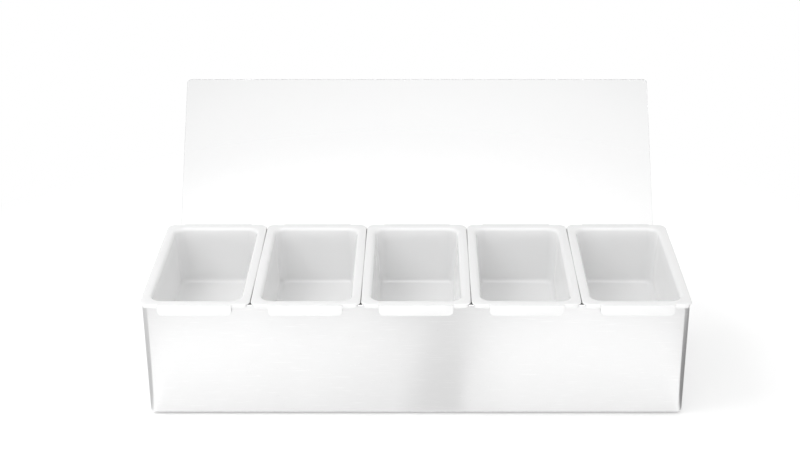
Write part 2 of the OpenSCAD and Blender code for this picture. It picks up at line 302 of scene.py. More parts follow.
# wear is what a hair scratch adds to the roughness, and skin the pattern that the relief follows
moulded = dict(ior=1.5, wear=0.05, skin="Grain", skinDepth=0.02, hairWidth=0.004)
cast = dict(ior=1.49, wear=0.15, skin="Clouds", skinDepth=0.05, hairWidth=0.003)
plasticLooks = {
    "insert": dict(moulded, dark=(0.882, 0.883, 0.883), pale=(0.904, 0.905, 0.905), cloudScale=18,
                   grainScale=1400, hairScale=34, roughness=(0.10, 0.16), relief=0.04),
    "washer": dict(moulded, dark=(0.80, 0.79, 0.76), pale=(0.87, 0.86, 0.83), cloudScale=90,
                   grainScale=2600, hairScale=200, roughness=(0.45, 0.55), relief=0.15),
    "pad": dict(moulded, dark=(0.018, 0.018, 0.019), pale=(0.035, 0.035, 0.036), cloudScale=60,
                grainScale=2200, hairScale=120, roughness=(0.6, 0.8), relief=0.5),
    "lid": dict(cast, dark=(0.918, 0.919, 0.919), pale=(0.928, 0.929, 0.929), clear=1.0, cloudScale=9,
                grainScale=600, hairScale=22, roughness=(0.02, 0.06), relief=0.06,
                shade=(0.97, 0.97, 0.97)),
    # the edges' grey tone is painted shade, for the darker look of a clear sheet's edges
    "lidEdge": dict(cast, dark=(0.78, 0.79, 0.79), pale=(0.86, 0.87, 0.87), clear=0.3, cloudScale=60,
                    grainScale=1800, hairScale=60, roughness=(0.4, 0.5), relief=0.05,
                    shade=(0.9, 0.9, 0.9)),
}


def brushedSteel(name, look):
    # the quarter turn lays the wide side of the gloss across the brush lines
    material, tree, shader = newMaterial(name, Metallic=1.0, Anisotropic=look["stretch"],
                                         Anisotropic_Rotation=0.25)
    coordinates = tree.nodes.new("ShaderNodeTexCoord")
    marks = placeGroup(tree, brushLines, Line_Size=[v * mm for v in look["lineSize"]], Seed=look["seed"])
    tone = twoTone(tree, look["dark"], look["pale"])
    lineShare = mathNode(tree, "MULTIPLY_ADD", brushing["lineShare"])
    patchShare = mathNode(tree, "MULTIPLY", brushing["patchShare"])
    rough = spread(tree, *look["roughness"], *brushing["lineRange"])
    scratchShade = twoTone(tree, (0, 0, 0), look["scratch"])
    dents = relief(tree, look["relief"], brushing["depth"])
    joinNodes(tree, (coordinates, "Object", marks, "Vector"),
              (marks, "Patches", patchShare, 0), (marks, "Lines", lineShare, 0),
              (patchShare, "Value", lineShare, 2), (lineShare, "Value", tone, "Factor"),
              (tone, "Result", scratchShade, "A"), (marks, "Scratches", scratchShade, "Factor"),
              (scratchShade, "Result", shader, "Base Color"),
              (marks, "Lines", rough, "Value"), (rough, "Result", shader, "Roughness"),
              (marks, "Lines", dents, "Height"), (dents, "Normal", shader, "Normal"))
    if look["stretch"]:
        along = tree.nodes.new("ShaderNodeTangent")
        along.direction_type = "RADIAL"
        along.axis = "Z"
        joinNodes(tree, (along, "Tangent", shader, "Tangent"))
    return material


def wornPlastic(name, look):
    material, tree, shader = newMaterial(name, IOR=look["ior"])
    coordinates = tree.nodes.new("ShaderNodeTexCoord")
    mottle = placeGroup(tree, fineMottle, Cloud_Scale=look["cloudScale"], Grain_Scale=look["grainScale"])
    wipes = placeGroup(tree, hairlines, Scale=look["hairScale"], Width=look["hairWidth"])
    tone = twoTone(tree, look["dark"], look["pale"])
    rough = spread(tree, *look["roughness"])
    worn = mathNode(tree, "MULTIPLY_ADD", look["wear"])
    skin = relief(tree, look["relief"], look["skinDepth"])
    joinNodes(tree, (coordinates, "Object", mottle, "Vector"), (coordinates, "Object", wipes, "Vector"),
              (mottle, "Clouds", tone, "Factor"), (tone, "Result", shader, "Base Color"),
              (mottle, "Clouds", rough, "Value"), (wipes, "Marks", worn, 0), (rough, "Result", worn, 2),
              (worn, "Value", shader, "Roughness"),
              (mottle, look["skin"], skin, "Height"), (skin, "Normal", shader, "Normal"))
    return material


def clearSheet(name, look):
    material = wornPlastic(name, look)
    tree = material.node_tree
    shader = tree.nodes["Principled BSDF"]
    shader.inputs["Transmission Weight"].default_value = look["clear"]
    # lamps shine through the sheet, so its shadow stays light
    path = tree.nodes.new("ShaderNodeLightPath")
    through = tree.nodes.new("ShaderNodeBsdfTransparent")
    through.inputs["Color"].default_value = (*look["shade"], 1)
    mix = tree.nodes.new("ShaderNodeMixShader")
    joinNodes(tree, (path, "Is Shadow Ray", mix, 0), (shader, "BSDF", mix, 1), (through, "BSDF", mix, 2),
              (mix, "Shader", tree.nodes["Material Output"], "Surface"))
    return material


steel = {part: brushedSteel(part + "Steel", look) for part, look in steelLooks.items()}
insertPlastic = wornPlastic("insertPlastic", plasticLooks["insert"])
washerNylon = wornPlastic("washerNylon", plasticLooks["washer"])
padRubber = wornPlastic("padRubber", plasticLooks["pad"])
lidPlastic = clearSheet("lidPlastic", plasticLooks["lid"])
lidEdgeShadedPlastic = clearSheet("lidEdgeShadedPlastic", plasticLooks["lidEdge"])
print("materials ready")


# the housing is a section carried round the walls
housing = dict(
    width=480, depth=158, height=110, sheet=1, cornerRadius=5, cornerSteps=10, hem=9,
    footBend=2.5, footFlange=14, arcSteps=6, smooth=35,
)


def housingSection(size):
    # x is the distance out from the wall's face, y the height
    t, bend, top, steps = size["sheet"], size["footBend"], size["height"], size["arcSteps"]
    cornerClearance = 0.6  # keeps the swept flange from folding over itself in the bends
    innerEdge = t - size["cornerRadius"] + cornerClearance
    section = arc(-bend, bend, bend, -90, 0, steps)
    section += arc(-t, top - t, t, 0, 180, steps)
    section += [(-2 * t, top - size["hem"]), (-t, top - size["hem"])]
    section += arc(-bend, bend, bend - t, 0, -90, steps)
    section += [(innerEdge, t), (innerEdge, 0)]
    return section


def buildWallSweep():
    tree, given, result = geometryTree("wallSweep", [
        ("Width", "Float"), ("Depth", "Float"), ("Corner Radius", "Float"), ("Corner Steps", "Int"),
        ("Material", "Material")])
    path = tree.nodes.new("GeometryNodeCurvePrimitiveQuadrilateral")
    corners = tree.nodes.new("GeometryNodeFilletCurve")
    corners.mode = "POLY"
    upright = tree.nodes.new("GeometryNodeSetCurveNormal")
    upright.mode = "Z_UP"
    section = tree.nodes.new("GeometryNodeMeshToCurve")
    sweep = tree.nodes.new("GeometryNodeCurveToMesh")
    real = tree.nodes.new("GeometryNodeRealizeInstances")
    finish = tree.nodes.new("GeometryNodeSetMaterial")
    joinNodes(tree, (given, "Width", path, "Width"), (given, "Depth", path, "Height"),
              (path, "Curve", corners, "Curve"), (given, "Corner Radius", corners, "Radius"),
              (given, "Corner Steps", corners, "Count"), (corners, "Curve", upright, "Curve"),
              (upright, "Curve", sweep, "Curve"), (given, "Geometry", section, "Mesh"),
              (section, "Curve", sweep, "Profile Curve"), (sweep, "Mesh", real, "Geometry"),
              (real, "Geometry", finish, "Geometry"), (given, "Material", finish, "Material"),
              (finish, "Geometry", result, "Geometry"))
    return tree


def squareOpening(mesh, size):
    # the foot flange runs on inwards to a square-cornered opening
    innerX = (size["width"] / 2 - size["footFlange"]) * mm
    innerY = (size["depth"] / 2 - size["footFlange"]) * mm
    flangeTop = (size["sheet"] + 0.1) * mm
    pastBend = (size["footBend"] + 0.3) * mm
    for vertex in mesh.vertices:
        x, y, z = vertex.co
        inset = min(size["width"] / 2 * mm - abs(x), size["depth"] / 2 * mm - abs(y))
        if z < flangeTop and inset > pastBend:
            vertex.co.x = max(-innerX, min(innerX, x))
            vertex.co.y = max(-innerY, min(innerY, y))


def makeHousing(size):
    section = housingSection(size)
    count = len(section)
    loop = [(k, (k + 1) % count) for k in range(count)]
    shell = addObject("housingShell", meshFrom("housingShell", [(x, -z, 0) for x, z in section], [], loop))
    runTree(shell, buildWallSweep(), {
        "Width": size["width"] * mm, "Depth": size["depth"] * mm,
        "Corner Radius": size["cornerRadius"] * mm, "Corner Steps": size["cornerSteps"],
        "Material": steel["housing"]})
    squareOpening(shell.data, size)
    tidyMesh(shell.data)
    smoothBelow(shell.data, size["smooth"])
    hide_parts("housing_wrap")
    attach(shell, "housing")


makeHousing(housing)
print("housing ready")


# an insert is a stack of rings from its inner floor up over the rim and down the outside
insert = dict(
    count=5, sideOverhang=1.8, endOverhang=2.2, gap=0.6, seat=0.3, rim=1.8, rimCorner=7, rimEdge=1.0,
    rimChamfer=0.2, mouthInset=8.8, mouthCorner=10, lip=3.4, wall=1.8, draft=3.5, depth=56, floor=2,
    floorFillet=5, skirtHeight=3.8, skirt=1.4, skirtEdge=0.35, bow=0.28, tabWidth=65, tabDrop=10.5,
    tabSink=0.2, tabThickness=2, tabCorner=4.5, tabEdge=0.55, cornerSteps=8, sideCuts=8, filletSteps=5,
    tabSteps=6, smooth=38,
)
insert["pitch"] = (housing["width"] + 2 * insert["sideOverhang"]) / insert["count"]
insert["rimX"] = insert["pitch"] - insert["gap"]
insert["rimY"] = housing["depth"] + 2 * insert["endOverhang"]
insert["rimTop"] = housing["height"] + insert["seat"] + insert["rim"]


def roundedRing(halfX, halfY, radius, height, size, bow=0.0):
    # the two long sides stand out by the bow at their middle
    steps, cuts = size["cornerSteps"], size["sideCuts"]
    corners = []
    for signX, signY, start in ((1, 1, 0), (-1, 1, 90), (-1, -1, 180), (1, -1, 270)):
        corners.append(arc(signX * (halfX - radius), signY * (halfY - radius), radius,
                           start, start + 90, steps))
    ring = []
    for corner, following in zip(corners, corners[1:] + corners[:1]):
        ring += corner
        first, last = Vector(corner[-1]), Vector(following[0])
        ring += [tuple(first.lerp(last, k / cuts)) for k in range(1, cuts)]
    straight = halfY - radius
    points = []
    for x, y in ring:
        share = max(0, 1 - (y / straight) ** 2) if abs(y) < straight else 0
        points.append((x + math.copysign(bow * share, x), y, height))
    return points


def insertRings(size):
    top, lip, wall, fillet = size["rimTop"], size["lip"], size["wall"], size["floorFillet"]
    steps, edge, floor = size["filletSteps"], size["rimEdge"], top - size["depth"]
    mouth, filletTop, under, rimUnder = top - lip, floor + fillet, floor - size["floor"], top - size["rim"]
    narrow = (mouth - filletTop) * math.tan(math.radians(size["draft"]))
    outerFillet = fillet + wall
    rings = []

    def wallRing(out, height, bow=0.0):
        # out is the distance outwards from the mouth
        rings.append(roundedRing(size["rimX"] / 2 - size["mouthInset"] + out,
                                 size["rimY"] / 2 - size["mouthInset"] + out,
                                 size["mouthCorner"] + out, height, size, bow))

    def rimRing(inset, drop):
        rings.append(roundedRing(size["rimX"] / 2 - inset, size["rimY"] / 2 - inset,
                                 size["rimCorner"] - inset, top - drop, size, size["bow"]))

    for out, up in arc(-narrow - fillet, fillet, fillet, 270, 360, steps):  # inner floor's fillet
        wallRing(out, floor + up)
    for share in (0.25, 0.5, 0.75):  # inner wall
        wallRing(-narrow * (1 - share), filletTop + (mouth - filletTop) * share)
    for out, up in arc(lip, 0, lip, 180, 90, steps):  # lip
        wallRing(out, mouth + up, size["bow"] * out / lip)
    for inset, drop in arc(edge, edge, edge, 270, 180, 3):  # rim's rounded outer edge
        rimRing(inset, drop)
    rimRing(0, size["rim"] - size["rimChamfer"])
    rimRing(size["rimChamfer"], size["rim"])
    wallRing(wall, rimUnder)
    for share in (0.33, 0.66):  # outer wall
        wallRing(wall - narrow * share, rimUnder - (rimUnder - under - outerFillet) * share)
    for out, up in arc(-narrow - fillet, outerFillet, outerFillet, 360, 270, steps):  # outer floor's round
        wallRing(out, under + up)
    return rings


def insertShell(size):
    rings = insertRings(size)
    count, last = len(rings[0]), len(rings) - 1
    faces = [list(range(count))[::-1]]
    for row in range(last):
        for k in range(count):
            following = (k + 1) % count
            faces.append((row * count + k, row * count + following,
                          (row + 1) * count + following, (row + 1) * count + k))
    faces.append([last * count + k for k in range(count)])
    mesh = meshFrom("insertShell", [point for ring in rings for point in ring], faces)
    tidyMesh(mesh)
    return addObject("insertShell", mesh)


def extrudeOutline(name, outline, ends, place):
    # outline is a closed loop of points, and place(point, end) puts a point at each of the two ends
    count = len(outline)
    points = [place(p, end) for end in ends for p in outline]
    faces = [list(range(count)), [count + k for k in range(count)][::-1]]
    faces += [(k, (k + 1) % count, count + (k + 1) % count, count + k) for k in range(count)]
    mesh = meshFrom(name, points, faces)
    tidyMesh(mesh)
    return addObject(name, mesh)


def fingerTab(size, end):
    half, corner, steps = size["tabWidth"] / 2, size["tabCorner"], size["tabSteps"]
    low, high = size["rimTop"] - size["tabDrop"], size["rimTop"] - size["tabSink"]
    outline = [(half, high), (-half, high)]
    outline += arc(corner - half, low + corner, corner, 180, 270, steps)
    outline += arc(half - corner, low + corner, corner, 270, 360, steps)
    inner, outer = size["rimY"] / 2 - size["skirt"] / 2, size["rimY"] / 2 + size["tabThickness"]
    tab = extrudeOutline("fingerTab", outline, (inner, outer), lambda p, y: (p[0], end * y, p[1]))
    roundEdges(tab, size["tabEdge"], 3, 40)
    return tab


def endSkirt(size, end):
    corner, steps = size["rimCorner"], size["tabSteps"]
    centreX, centreY = size["rimX"] / 2 - corner, size["rimY"] / 2 - corner
    sweep = math.degrees(math.acos((corner - size["skirt"]) / corner))
    outline = arc(centreX, centreY, corner, 90 - sweep, 90, steps)
    outline += arc(-centreX, centreY, corner, 90, 90 + sweep, steps)
    heights = (size["rimTop"] - size["skirtHeight"], size["rimTop"] - size["rimEdge"])
    skirt = extrudeOutline("endSkirt", outline, heights, lambda p, z: (p[0], end * p[1], z))
    roundEdges(skirt, size["skirtEdge"], 2, 60)
    return skirt


def makeInserts(size):
    shell = insertShell(size)
    for end in (-1, 1):
        cutWith(shell, endSkirt(size, end), "UNION")
        cutWith(shell, fingerTab(size, end), "UNION")
    smoothBelow(shell.data, size["smooth"])
    shell.data.materials.clear()
    shell.data.materials.append(insertPlastic)
    for number in range(1, size["count"] + 1):
        mesh = shell.data.copy()
        mesh.transform(shift((number - (size["count"] + 1) / 2) * size["pitch"], 0, 0))
        piece = addObject("insertTray_%d" % number, mesh)
        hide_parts("insert_%d" % number)
        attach(piece, "insert_%d" % number)
    bpy.data.objects.remove(shell)


makeInserts(insert)
print("inserts ready")


lidJoint = next(joint for joint in frame["joints"] if joint["name"] == "lid_hinge")
pivot = Vector(lidJoint["pos_m"])
pivotZ = pivot.z / mm
# the lid and what is riveted to it are made closed and then turned open about the pins
openTurn = (Matrix.Translation(pivot) @ Matrix.Rotation(math.radians(lidJoint["range_deg"][0]), 4, "X")
            @ Matrix.Translation(-pivot))

hinges = dict(leaf=1.2, rivetSpacing=18, wallRivetDrop=19, lidRivetHeight=9.5)
hinges["x"] = insert["pitch"] * (insert["count"] / 2 - 1)

# the lid is a clear sheet, bent along its rear edge and drilled for the rivets
lid = dict(
    width=470, thickness=2.5, gap=0.4, frontReach=1.2, rearGap=1.8, flangeStart=3.5, innerBend=2,
    corner=4.5, columns=24, panelRows=8, bendSteps=8, cornerSteps=7, edge=0.3, holeRadius=1.65,
    holeSteps=24, smooth=15,
)
tabFaceY = insert["rimY"] / 2 + insert["tabThickness"]
lid["underZ"] = insert["rimTop"] + lid["gap"]
lid["frontY"] = -tabFaceY - lid["frontReach"]
lid["flangeInnerY"] = tabFaceY + lid["rearGap"]
lid["flangeOuterY"] = lid["flangeInnerY"] + lid["thickness"]
lid["flangeEndZ"] = pivotZ + lid["flangeStart"]


def lidSheet(size):
    # the closed lid's outer face, in rows from the flange's end up over the bend to the front edge
    outerBend = size["innerBend"] + size["thickness"]
    bendY, bendZ = size["flangeOuterY"] - outerBend, size["underZ"] + size["thickness"] - outerBend
    riser, bend, panel = bendZ - size["flangeEndZ"], math.pi / 2 * outerBend, bendY - size["frontY"]
    length = riser + bend + panel
    radius, steps = size["corner"], size["cornerSteps"]
    corner = [radius * (1 - math.cos(math.pi / 2 * k / steps)) for k in range(steps + 1)]
    stops = corner + [riser + bend * k / size["bendSteps"] for k in range(size["bendSteps"] + 1)]
    stops += [riser + bend + panel * k / size["panelRows"] for k in range(1, size["panelRows"])]
    stops += [length - stop for stop in reversed(corner)]
    points = []
    for stop in stops:
        half = size["width"] / 2
        intoCorner = radius - min(stop, length - stop)
        if intoCorner > 0:
            half -= radius - math.sqrt(max(0, radius ** 2 - intoCorner ** 2))
        if stop <= riser:
            y, z = size["flangeOuterY"], size["flangeEndZ"] + stop
        elif stop <= riser + bend:
            turn = (stop - riser) / outerBend
            y, z = bendY + outerBend * math.cos(turn), bendZ + outerBend * math.sin(turn)
        else:
            y, z = bendY - (stop - riser - bend), bendZ + outerBend
        points += [(half * (2 * k / size["columns"] - 1), y, z) for k in range(size["columns"] + 1)]
    across = size["columns"] + 1
    starts = [row * across + k for row in range(len(stops) - 1) for k in range(size["columns"])]
    faces = [(a, a + across, a + across + 1, a + 1) for a in starts]
    return addObject("lidSheet", meshFrom("lidSheet", points, faces))


def drillLid(sheet, size):
    reach = 2 * size["thickness"]
    profile = [(0, -reach), (size["holeRadius"], -reach), (size["holeRadius"], reach), (0, reach)]
    for side in (-1, 1):
        for pair in (-0.5, 0.5):
            hole = lathe("hole", profile, size["holeSteps"])
            hole.transform(shift(side * hinges["x"] + pair * hinges["rivetSpacing"], size["flangeOuterY"],
                                 pivotZ + hinges["lidRivetHeight"]))
            cutWith(sheet, addObject("hole", hole), "DIFFERENCE")


def makeLid(size):
    sheet = lidSheet(size)
    # the edges are rougher and less clear than the faces, and their grey tone is painted shade for the
    # darker look of the sheet's edges
    sheet.data.materials.append(lidPlastic)
    sheet.data.materials.append(lidEdgeShadedPlastic)
    solid = sheet.modifiers.new("thickness", "SOLIDIFY")
    solid.material_offset_rim = 1
    solid.thickness = size["thickness"] * mm
    solid.offset = -1
    solid.use_even_offset = True
    applyModifiers(sheet)
    roundEdges(sheet, size["edge"], 2, 60)
    drillLid(sheet, size)
    sheet.data.transform(openTurn)
    smoothBelow(sheet.data, size["smooth"])
    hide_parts("lid")
    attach(sheet, "lid")


makeLid(lid)
print("lid ready")


def buildRepeat():
    # copies the given piece in groups that are centred on it
    tree, given, result = geometryTree("repeatInGroups", [
        ("Groups", "Int"), ("Group Step", "Vector"), ("Pieces", "Int"), ("Piece Step", "Vector"),
        ("Material", "Material")])
    lines = []
    for count, step in (("Groups", "Group Step"), ("Pieces", "Piece Step")):
        gaps = mathNode(tree, "MULTIPLY_ADD", -0.5)
        gaps.inputs[2].default_value = 0.5
        start = tree.nodes.new("ShaderNodeVectorMath")
        start.operation = "SCALE"
        line = tree.nodes.new("GeometryNodeMeshLine")
        line.mode = "OFFSET"
        joinNodes(tree, (given, count, gaps, 0), (given, step, start, 0), (gaps, "Value", start, "Scale"),
                  (given, count, line, "Count"), (start, "Vector", line, "Start Location"),
                  (given, step, line, "Offset"))
        lines.append(line)
    places = tree.nodes.new("GeometryNodeInstanceOnPoints")
    spots = tree.nodes.new("GeometryNodeRealizeInstances")
    pieces = tree.nodes.new("GeometryNodeInstanceOnPoints")
    real = tree.nodes.new("GeometryNodeRealizeInstances")
    finish = tree.nodes.new("GeometryNodeSetMaterial")
    joinNodes(tree, (lines[0], "Mesh", places, "Points"), (lines[1], "Mesh", places, "Instance"),
              (places, "Instances", spots, "Geometry"), (spots, "Geometry", pieces, "Points"),
              (given, "Geometry", pieces, "Instance"), (pieces, "Instances", real, "Geometry"),
              (real, "Geometry", finish, "Geometry"), (given, "Material", finish, "Material"),
              (finish, "Geometry", result, "Geometry"))
    return tree


repeatInGroups = buildRepeat()

# fasteners and pads are turned once and repeated in groups
rivet = dict(
    shank=1.6, head=2.8, headHeight=1.2, headEdge=0.08, tail=2.38, tailEdge=0.4, domeRings=7, steps=28,
)
washer = dict(outer=4.0, hole=1.65, thickness=0.8, edge=0.15, steps=36)
pin = dict(radius=1.5, length=30, head=2.3, headHeight=0.8, edge=0.25, steps=28)
pad = dict(
    diameter=16, reach=1.5, top=1.0, edge=0.45, dish=0.25, dishEnd=0.55, rimStart=0.68, inset=23, steps=48,
)
turnedSmooth = 30


def rivetProfile(size, grip):
    # the domed head stands at the far end of the grip and the set tail at the near end
    head, rise, tail, edge = size["head"], size["headHeight"], size["tail"], size["tailEdge"]
    domeRadius = (head * head + rise * rise) / (2 * rise)
    profile = [(0, -rise), (tail - edge, -rise), (tail - 0.25 * edge, -rise + 0.3 * edge),
               (tail, -rise + edge), (tail, 0), (size["shank"], 0), (size["shank"], grip), (head, grip),
               (head, grip + size["headEdge"])]
    for k in range(1, size["domeRings"]):
        radius = head * (1 - k / size["domeRings"])
        profile.append((radius, grip + rise - domeRadius + math.sqrt(domeRadius ** 2 - radius ** 2)))
    return profile + [(0, grip + rise)]


def washerProfile(size):
    t, e = size["thickness"], size["edge"]
    return [(size["hole"], 0), (size["outer"] - e, 0), (size["outer"], e), (size["outer"], t - e),
            (size["outer"] - e, t), (size["hole"], t), (size["hole"], 0)]


def pinProfile(size):
    half, head, rise, e = size["length"] / 2, size["head"], size["headHeight"], size["edge"]
    end = [(0, rise), (head - 2 * e, rise), (head - 0.5 * e, rise - 0.5 * e), (head, rise - 2 * e),
           (head, 0), (size["radius"], 0)]
    return [(r, -half - y) for r, y in end] + [(r, half + y) for r, y in reversed(end)]


def padProfile(size):
    r, e, low = size["diameter"] / 2, size["edge"], -size["reach"]
    return [(0, low + size["dish"]), (r * size["dishEnd"], low + size["dish"]), (r * size["rimStart"], low),
            (r - e, low), (r - 0.3 * e, low + 0.3 * e), (r, low + e), (r, size["top"]), (0, size["top"])]


def makeGroup(name, profile, steps, place, material, groupStep, pieceStep, pieces=2):
    mesh = lathe(name, profile, steps)
    smoothBelow(mesh, turnedSmooth)
    mesh.transform(place)
    group = addObject(name, mesh)
    runTree(group, repeatInGroups, {
        "Groups": 2, "Group Step": [v * mm for v in groupStep],
        "Pieces": pieces, "Piece Step": [v * mm for v in pieceStep], "Material": material})
    return group


def handOver(piece, body, slotName, *nodes):
    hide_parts(*nodes)
    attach(piece, body)


betweenHinges = (2 * hinges["x"], 0, 0)
betweenRivets = (hinges["rivetSpacing"], 0, 0)
wallPlace = shift(0, housing["depth"] / 2 - housing["sheet"], pivotZ - hinges["wallRivetDrop"])
lidPlace = shift(0, lid["flangeInnerY"] - washer["thickness"], pivotZ + hinges["lidRivetHeight"])

wallRivets = makeGroup("wallRivets", rivetProfile(rivet, housing["sheet"] + hinges["leaf"]), rivet["steps"],
                       wallPlace, steel["rivet"], betweenHinges, betweenRivets)
handOver(wallRivets, "housing", "rivet_steel", "wall_rivets")

lidGrip = washer["thickness"] + lid["thickness"] + hinges["leaf"]
lidRivets = makeGroup("lidRivets", rivetProfile(rivet, lidGrip), rivet["steps"],
                      lidPlace, steel["rivet"], betweenHinges, betweenRivets)
lidRivets.data.transform(openTurn)
handOver(lidRivets, "lid", "rivet_steel", "lid_rivets")

lidWashers = makeGroup("lidWashers", washerProfile(washer), washer["steps"],
                       lidPlace, washerNylon, betweenHinges, betweenRivets)
lidWashers.data.transform(openTurn)
handOver(lidWashers, "lid", "washer_nylon", "lid_washers")

hingePins = makeGroup("hingePins", pinProfile(pin), pin["steps"],
                      Matrix.Translation(pivot) @ Matrix.Rotation(math.radians(-90), 4, "Z"),
                      steel["pin"], betweenHinges, (0, 0, 0), pieces=1)
handOver(hingePins, "housing", "pin_steel", "hinge_pin_left", "hinge_pin_right")

betweenSides = (housing["width"] - 2 * pad["inset"], 0, 0)
frontToBack = (0, housing["depth"] - 2 * pad["inset"], 0)
nonSlipPads = makeGroup("nonSlipPads", padProfile(pad), pad["steps"],
                        Matrix.Rotation(math.radians(90), 4, "X"), padRubber, betweenSides, frontToBack)
handOver(nonSlipPads, "housing", "pad_rubber",
         "foot_front_left", "foot_front_right", "foot_rear_left", "foot_rear_right")
print("rivets, washers, pins and pads ready")


# these pieces keep their own shape
ownShape = {
    "base_plate": "floor",
    "wall_leaf_left": "hinge", "wall_leaf_right": "hinge",
    "lid_leaf_left": "hinge", "lid_leaf_right": "hinge",
}
for node, part in ownShape.items():
    mesh = frame["nodes"][node].data
    mesh.materials.clear()
    mesh.materials.append(steel[part])
print("floor and hinge leaves ready")


def bareMaterial(name):
    material, tree, shader = newMaterial(name)
    tree.nodes.remove(shader)
    return material, tree


def rampNode(tree, stops, blend):
    node = tree.nodes.new("ShaderNodeValToRGB")
    node.color_ramp.interpolation = blend
    ramp = node.color_ramp.elements
    while len(ramp) < len(stops):
        ramp.new(0.5)
    for element, (place, share) in zip(ramp, stops):
        element.position = place
        element.color = (share, share, share, 1)
    return node


def seenDirectly(tree):
    # 1 for camera, mirror and see-through rays, and 0 for light that has bounced off a dull surface
    path = tree.nodes.new("ShaderNodeLightPath")
    first = mathNode(tree, "MAXIMUM")
    both = mathNode(tree, "MAXIMUM")
    direct = mathNode(tree, "LESS_THAN", 0.5)
    seen = mathNode(tree, "MULTIPLY")
    joinNodes(tree, (path, "Is Camera Ray", first, 0), (path, "Is Glossy Ray", first, 1),
              (first, "Value", both, 0), (path, "Is Transmission Ray", both, 1),
              (path, "Diffuse Depth", direct, 0), (both, "Value", seen, 0), (direct, "Value", seen, 1))
    return seen


# past the fade, in metres from the caddy, the sweep is plain white
paperSweep = dict(z=-1.55, half=6000, paint=0.90, bounce=0.85, glow=0.25, fade=(0.36, 0.62))


def makeFloor(size):
    half, z = size["half"], size["z"]
    mesh = meshFrom("tableTop", [(-half, -half, z), (half, -half, z), (half, half, z), (-half, half, z)],
                    [(0, 1, 2, 3)])
    table = addObject("tableTop", mesh)
    material, tree = bareMaterial("paperSweep")
    seen = seenDirectly(tree)
    bounce = tree.nodes.new("ShaderNodeBsdfDiffuse")
    bounce.inputs["Color"].default_value = (*[size["bounce"]] * 3, 1)
    paint = tree.nodes.new("ShaderNodeBsdfDiffuse")
    paint.inputs["Color"].default_value = (*[size["paint"]] * 3, 1)
    glow = tree.nodes.new("ShaderNodeEmission")
    glow.inputs["Strength"].default_value = size["glow"]
    lit = tree.nodes.new("ShaderNodeAddShader")
    white = tree.nodes.new("ShaderNodeEmission")
    coordinates = tree.nodes.new("ShaderNodeTexCoord")
    distance = tree.nodes.new("ShaderNodeVectorMath")
    distance.operation = "LENGTH"
    fade = spread(tree, 0, 1, *size["fade"])
    fade.interpolation_type = "SMOOTHSTEP"
    sweep = tree.nodes.new("ShaderNodeMixShader")
    mix = tree.nodes.new("ShaderNodeMixShader")
    joinNodes(tree, (paint, "BSDF", lit, 0), (glow, "Emission", lit, 1),
              (coordinates, "Object", distance, 0), (distance, "Value", fade, "Value"),
              (fade, "Result", sweep, 0), (lit, "Shader", sweep, 1), (white, "Emission", sweep, 2),
              (seen, "Value", mix, 0), (bounce, "BSDF", mix, 1), (sweep, "Shader", mix, 2),
              (mix, "Shader", tree.nodes["Material Output"], "Surface"))
    mesh.materials.append(material)


# how bright the white surround is for dull surfaces, and for the camera and mirrors
surround = dict(ambient=0.78, seen=1.0)


def makeWorld(levels):
    world = bpy.data.worlds.new("studio")
    scene.world = world
    world.use_nodes = True
    tree = world.node_tree
    shine = tree.nodes["Background"]
    shine.inputs["Color"].default_value = (1, 1, 1, 1)
    strength = spread(tree, levels["ambient"], levels["seen"])
    joinNodes(tree, (seenDirectly(tree), "Value", strength, "Value"),
              (strength, "Result", shine, "Strength"))


def cardMaterial(name, level, stops, across="X"):
    # a grey whose cover varies across the card; stops are (place, cover)
    material, tree = bareMaterial(name)
    grey = tree.nodes.new("ShaderNodeEmission")
    grey.inputs["Strength"].default_value = level
    clear = tree.nodes.new("ShaderNodeBsdfTransparent")
    coordinates = tree.nodes.new("ShaderNodeTexCoord")
    split = tree.nodes.new("ShaderNodeSeparateXYZ")
    cover = rampNode(tree, stops, "EASE")
    mix = tree.nodes.new("ShaderNodeMixShader")
    joinNodes(tree, (coordinates, "UV", split, "Vector"), (split, across, cover, "Fac"),
              (cover, "Color", mix, 0), (clear, "BSDF", mix, 1), (grey, "Emission", mix, 2),
              (mix, "Shader", tree.nodes["Material Output"], "Surface"))
    return material


def panelMaterial(name, panel):
    material, tree = bareMaterial(name)
    light = tree.nodes.new("ShaderNodeEmission")
    coordinates = tree.nodes.new("ShaderNodeTexCoord")
    place = tree.nodes.new("ShaderNodeMapping")
    setInputs(place, {"Location": panel["centre"], "Scale": panel["scale"]})
    distance = tree.nodes.new("ShaderNodeVectorMath")
    distance.operation = "LENGTH"
    fall = rampNode(tree, panel["stops"], "LINEAR")
    bright = spread(tree, 0, panel["level"])
    joinNodes(tree, (coordinates, "UV", place, "Vector"), (place, "Vector", distance, 0),
              (distance, "Value", fall, "Fac"), (fall, "Color", bright, "Value"),
              (bright, "Result", light, "Strength"),
              (light, "Emission", tree.nodes["Material Output"], "Surface"))
    return material


def makeCard(name, corners, material, throughSheet=False):
    # mirrors show a card, and so does the clear sheet where throughSheet is set
    # its corners are counted round from the one at u = 0, v = 0
    mesh = meshFrom(name, corners, [(0, 1, 2, 3)])
    layer = mesh.uv_layers.new(name="card")
    for loop, uv in zip(layer.data, ((0, 0), (1, 0), (1, 1), (0, 1))):
        loop.uv = uv
    mesh.materials.append(material)
    card = addObject(name, mesh)
    card.visible_camera = False
    card.visible_diffuse = False
    card.visible_transmission = throughSheet
    card.visible_shadow = False
    card.visible_volume_scatter = False


def makeLevelCard(name, size, material, throughSheet=False):
    half, near, far, z = size["half"], size["near"], size["far"], size["height"]
    corners = [(-half, near, z), (half, near, z), (half, far, z), (-half, far, z)]
    makeCard(name, corners, material, throughSheet)


